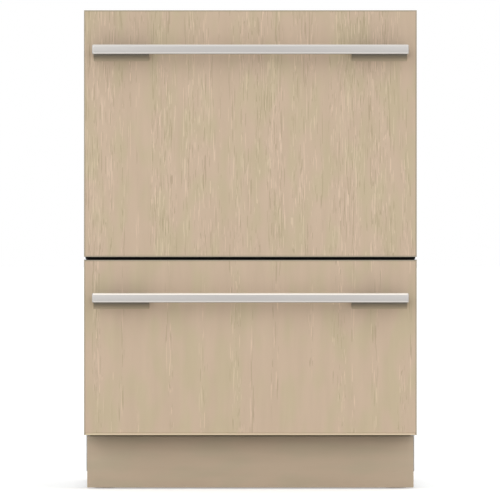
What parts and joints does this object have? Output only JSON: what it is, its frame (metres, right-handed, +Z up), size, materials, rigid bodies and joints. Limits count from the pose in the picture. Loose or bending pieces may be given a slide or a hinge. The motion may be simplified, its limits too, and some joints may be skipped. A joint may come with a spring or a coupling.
{
  "type": "double dishwasher drawer",
  "caption": "Built-in double dishwasher drawer: a tall and a lower sliding tub behind wooden fronts with square bar handles, over a recessed kickboard.",
  "frame": {"origin": "on the floor under the middle of the object's box", "axes": "+X to the right seen from the front, +Y to the back, +Z up; the drawers open to -Y"},
  "size_m": [0.599, 0.6126, 0.863],
  "materials": {
    "oak_veneer": "light oak veneer, matt lacquer, straight grain",
    "kick_oak": "oak veneer, matt lacquer",
    "brushed_aluminium": "brushed, anodised",
    "bracket_paint": "satin grey",
    "galvanised_sheet": "galvanised",
    "runner_steel": "zinc plated",
    "black_plastic": "satin black",
    "tub_plastic": "moulded grey",
    "lid_plastic": "moulded pale grey",
    "dark_plastic": "moulded dark grey",
    "button_plastic": "smooth",
    "seal_rubber": "soft",
    "coated_wire": "nylon coated",
    "white_plastic": "moulded white"
  },
  "bodies": {
    "chassis": {"left_side_sheet": "galvanised_sheet", "right_side_sheet": "galvanised_sheet", "rear_sheet": "galvanised_sheet", "top_sheet": "galvanised_sheet", "centre_shelf": "black_plastic", "base_plate": "dark_plastic", "kickboard": "kick_oak", "water_inlet_valve": "white_plastic", "top_outer_runner_left": "galvanised_sheet", "top_outer_runner_right": "galvanised_sheet", "top_lid_actuator": "dark_plastic", "bottom_outer_runner_left": "galvanised_sheet", "bottom_outer_runner_right": "galvanised_sheet", "bottom_lid_actuator": "dark_plastic"},
    "top_drawer": {"top_front_panel": "oak_veneer", "top_inner_door": "black_plastic", "top_handle_bar": "brushed_aluminium", "top_handle_bracket_left": "bracket_paint", "top_handle_bracket_right": "bracket_paint", "top_tub": "tub_plastic", "top_wash_pump": "dark_plastic", "top_filter_plate": "tub_plastic", "top_rack": "coated_wire", "top_dispenser": "lid_plastic", "top_runner_carriage": "runner_steel", "top_cutlery_basket": "tub_plastic"},
    "top_middle_runner_left": {"top_middle_runner_left": "runner_steel"},
    "top_middle_runner_right": {"top_middle_runner_right": "runner_steel"},
    "top_lid": {"top_lid": "lid_plastic", "top_lid_seal": "seal_rubber"},
    "top_power_button": {"top_power_button": "button_plastic"},
    "top_start_button": {"top_start_button": "button_plastic"},
    "top_spray_arm": {"top_spray_arm": "tub_plastic"},
    "top_folding_tines": {"top_folding_tines": "coated_wire"},
    "top_dispenser_flap": {"top_dispenser_flap": "tub_plastic"},
    "top_cup_shelf": {"top_cup_shelf": "lid_plastic"},
    "bottom_drawer": {"bottom_front_panel": "oak_veneer", "bottom_inner_door": "black_plastic", "bottom_handle_bar": "brushed_aluminium", "bottom_handle_bracket_left": "bracket_paint", "bottom_handle_bracket_right": "bracket_paint", "bottom_tub": "tub_plastic", "bottom_wash_pump": "dark_plastic", "bottom_filter_plate": "tub_plastic", "bottom_rack": "coated_wire", "bottom_dispenser": "lid_plastic", "bottom_runner_carriage": "runner_steel"},
    "bottom_middle_runner_left": {"bottom_middle_runner_left": "runner_steel"},
    "bottom_middle_runner_right": {"bottom_middle_runner_right": "runner_steel"},
    "bottom_lid": {"bottom_lid": "lid_plastic", "bottom_lid_seal": "seal_rubber"},
    "bottom_power_button": {"bottom_power_button": "button_plastic"},
    "bottom_start_button": {"bottom_start_button": "button_plastic"},
    "bottom_spray_arm": {"bottom_spray_arm": "tub_plastic"},
    "bottom_folding_tines": {"bottom_folding_tines": "coated_wire"},
    "bottom_dispenser_flap": {"bottom_dispenser_flap": "tub_plastic"},
    "foot_front_left": {"foot_front_left": "dark_plastic"},
    "foot_front_right": {"foot_front_right": "dark_plastic"},
    "foot_rear_left": {"foot_rear_left": "dark_plastic"},
    "foot_rear_right": {"foot_rear_right": "dark_plastic"}
  },
  "joints": [
    {"name": "top_drawer_slide", "type": "slide", "parent": "chassis", "child": "top_drawer", "axis": [0, -1, 0], "range_m": [0, 0.47]},
    {"name": "top_middle_runner_left_slide", "type": "slide", "parent": "chassis", "child": "top_middle_runner_left", "axis": [0, -1, 0], "range_m": [0, 0.235]},
    {"name": "top_middle_runner_right_slide", "type": "slide", "parent": "chassis", "child": "top_middle_runner_right", "axis": [0, -1, 0], "range_m": [0, 0.235]},
    {"name": "top_lid_lift", "type": "slide", "parent": "chassis", "child": "top_lid", "axis": [0, 0, -1], "range_m": [0, 0.012]},
    {"name": "top_power_button_press", "type": "slide", "parent": "top_drawer", "child": "top_power_button", "axis": [0, 0, -1], "range_m": [0, 0.0015], "stiffness_N_per_m": 400},
    {"name": "top_start_button_press", "type": "slide", "parent": "top_drawer", "child": "top_start_button", "axis": [0, 0, -1], "range_m": [0, 0.0015], "stiffness_N_per_m": 400},
    {"name": "top_spray_arm_spin", "type": "hinge", "parent": "top_drawer", "child": "top_spray_arm", "pos_m": [0, 0.0285, 0.5259], "axis": [0, 0, 1], "continuous": true},
    {"name": "top_folding_tines_fold", "type": "hinge", "parent": "top_drawer", "child": "top_folding_tines", "pos_m": [-0.03143, 0, 0.57331], "axis": [0, 1, 0], "range_deg": [0, 88]},
    {"name": "top_dispenser_flap_open", "type": "hinge", "parent": "top_drawer", "child": "top_dispenser_flap", "pos_m": [0.094, -0.18955, 0.7474], "axis": [-1, 0, 0], "range_deg": [0, 90]},
    {"name": "top_cup_shelf_fold", "type": "hinge", "parent": "top_drawer", "child": "top_cup_shelf", "pos_m": [-0.255, 0, 0.6689], "axis": [0, -1, 0], "range_deg": [0, 90]},
    {"name": "bottom_drawer_slide", "type": "slide", "parent": "chassis", "child": "bottom_drawer", "axis": [0, -1, 0], "range_m": [0, 0.47]},
    {"name": "bottom_middle_runner_left_slide", "type": "slide", "parent": "chassis", "child": "bottom_middle_runner_left", "axis": [0, -1, 0], "range_m": [0, 0.235]},
    {"name": "bottom_middle_runner_right_slide", "type": "slide", "parent": "chassis", "child": "bottom_middle_runner_right", "axis": [0, -1, 0], "range_m": [0, 0.235]},
    {"name": "bottom_lid_lift", "type": "slide", "parent": "chassis", "child": "bottom_lid", "axis": [0, 0, -1], "range_m": [0, 0.012]},
    {"name": "bottom_power_button_press", "type": "slide", "parent": "bottom_drawer", "child": "bottom_power_button", "axis": [0, 0, -1], "range_m": [0, 0.0015], "stiffness_N_per_m": 400},
    {"name": "bottom_start_button_press", "type": "slide", "parent": "bottom_drawer", "child": "bottom_start_button", "axis": [0, 0, -1], "range_m": [0, 0.0015], "stiffness_N_per_m": 400},
    {"name": "bottom_spray_arm_spin", "type": "hinge", "parent": "bottom_drawer", "child": "bottom_spray_arm", "pos_m": [0, 0.0285, 0.1723], "axis": [0, 0, 1], "continuous": true},
    {"name": "bottom_folding_tines_fold", "type": "hinge", "parent": "bottom_drawer", "child": "bottom_folding_tines", "pos_m": [-0.03143, 0, 0.21971], "axis": [0, 1, 0], "range_deg": [0, 88]},
    {"name": "bottom_dispenser_flap_open", "type": "hinge", "parent": "bottom_drawer", "child": "bottom_dispenser_flap", "pos_m": [0.094, -0.18955, 0.3019], "axis": [-1, 0, 0], "range_deg": [0, 90]},
    {"name": "foot_front_left_level", "type": "slide", "parent": "chassis", "child": "foot_front_left", "axis": [0, 0, -1], "range_m": [0, 0.047]},
    {"name": "foot_front_right_level", "type": "slide", "parent": "chassis", "child": "foot_front_right", "axis": [0, 0, -1], "range_m": [0, 0.047]},
    {"name": "foot_rear_left_level", "type": "slide", "parent": "chassis", "child": "foot_rear_left", "axis": [0, 0, -1], "range_m": [0, 0.047]},
    {"name": "foot_rear_right_level", "type": "slide", "parent": "chassis", "child": "foot_rear_right", "axis": [0, 0, -1], "range_m": [0, 0.047]}
  ],
  "couplings": [
    {"joint": "top_middle_runner_left_slide", "follows": "top_drawer_slide", "ratio": 0.5},
    {"joint": "top_middle_runner_right_slide", "follows": "top_drawer_slide", "ratio": 0.5},
    {"joint": "bottom_middle_runner_left_slide", "follows": "bottom_drawer_slide", "ratio": 0.5},
    {"joint": "bottom_middle_runner_right_slide", "follows": "bottom_drawer_slide", "ratio": 0.5}
  ]
}
